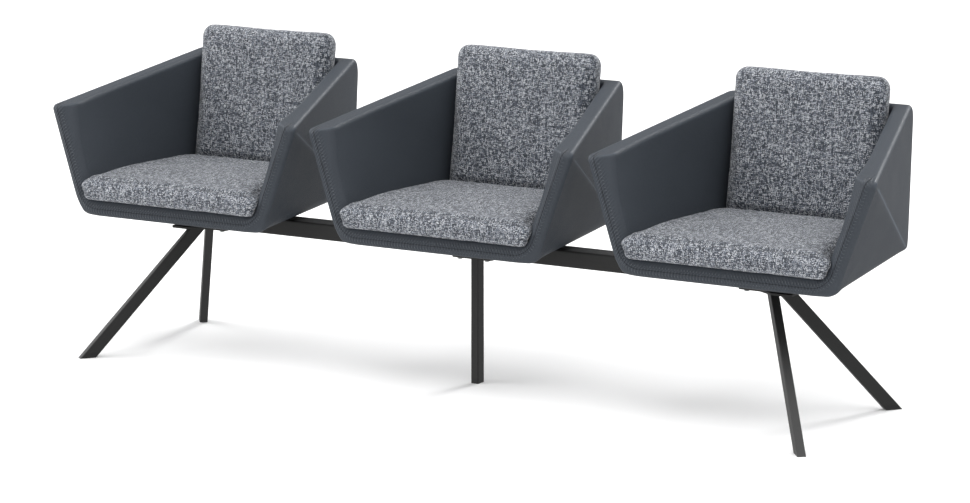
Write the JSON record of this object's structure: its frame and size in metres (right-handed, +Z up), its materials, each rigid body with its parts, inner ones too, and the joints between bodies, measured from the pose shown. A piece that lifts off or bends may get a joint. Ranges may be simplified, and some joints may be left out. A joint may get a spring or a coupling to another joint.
{
  "type": "beam seating",
  "caption": "Beam seating with faceted upholstered armchairs side by side on a steel beam with splayed tube legs.",
  "frame": {"origin": "floor point in the middle of the centre leg's foot", "axes": "+X along the beam, +Y to the backs of the chairs, +Z up"},
  "size_m": [2.2118, 0.5889, 0.7774],
  "materials": {
    "beam_steel": "fine matt black powder coat",
    "black_plastic": "moulded matt",
    "bolt_steel": "blackened",
    "plywood": "raw plywood",
    "shell_leather": "fine grained slate leatherette",
    "cushion_fabric": "melange wool weave"
  },
  "bodies": {
    "root": {"beam": "beam_steel", "left_leg_plate": "beam_steel", "centre_leg_plate": "beam_steel", "right_leg_plate": "beam_steel", "left_front_leg": "beam_steel", "left_front_glide": "black_plastic", "left_rear_leg": "beam_steel", "left_rear_glide": "black_plastic", "centre_leg": "beam_steel", "centre_glide": "black_plastic", "right_front_leg": "beam_steel", "right_front_glide": "black_plastic", "right_rear_leg": "beam_steel", "right_rear_glide": "black_plastic", "left_beam_cap": "black_plastic", "right_beam_cap": "black_plastic", "leg_plate_bolts": "bolt_steel", "seat_bracket_bolts": "bolt_steel", "saddle_bolts": "bolt_steel", "left_chair_bracket": "beam_steel", "left_chair_seat_board": "plywood", "left_chair_back_board": "plywood", "left_chair_left_arm_board": "plywood", "left_chair_right_arm_board": "plywood", "left_chair_base_panel": "shell_leather", "left_chair_back_panel": "shell_leather", "left_chair_left_arm_front_panel": "shell_leather", "left_chair_left_arm_rear_panel": "shell_leather", "left_chair_right_arm_front_panel": "shell_leather", "left_chair_right_arm_rear_panel": "shell_leather", "left_chair_seat_cushion": "cushion_fabric", "left_chair_back_cushion": "cushion_fabric", "centre_chair_bracket": "beam_steel", "centre_chair_seat_board": "plywood", "centre_chair_back_board": "plywood", "centre_chair_left_arm_board": "plywood", "centre_chair_right_arm_board": "plywood", "centre_chair_base_panel": "shell_leather", "centre_chair_back_panel": "shell_leather", "centre_chair_left_arm_front_panel": "shell_leather", "centre_chair_left_arm_rear_panel": "shell_leather", "centre_chair_right_arm_front_panel": "shell_leather", "centre_chair_right_arm_rear_panel": "shell_leather", "centre_chair_seat_cushion": "cushion_fabric", "centre_chair_back_cushion": "cushion_fabric", "right_chair_bracket": "beam_steel", "right_chair_seat_board": "plywood", "right_chair_back_board": "plywood", "right_chair_left_arm_board": "plywood", "right_chair_right_arm_board": "plywood", "right_chair_base_panel": "shell_leather", "right_chair_back_panel": "shell_leather", "right_chair_left_arm_front_panel": "shell_leather", "right_chair_left_arm_rear_panel": "shell_leather", "right_chair_right_arm_front_panel": "shell_leather", "right_chair_right_arm_rear_panel": "shell_leather", "right_chair_seat_cushion": "cushion_fabric", "right_chair_back_cushion": "cushion_fabric"}
  },
  "joints": []
}
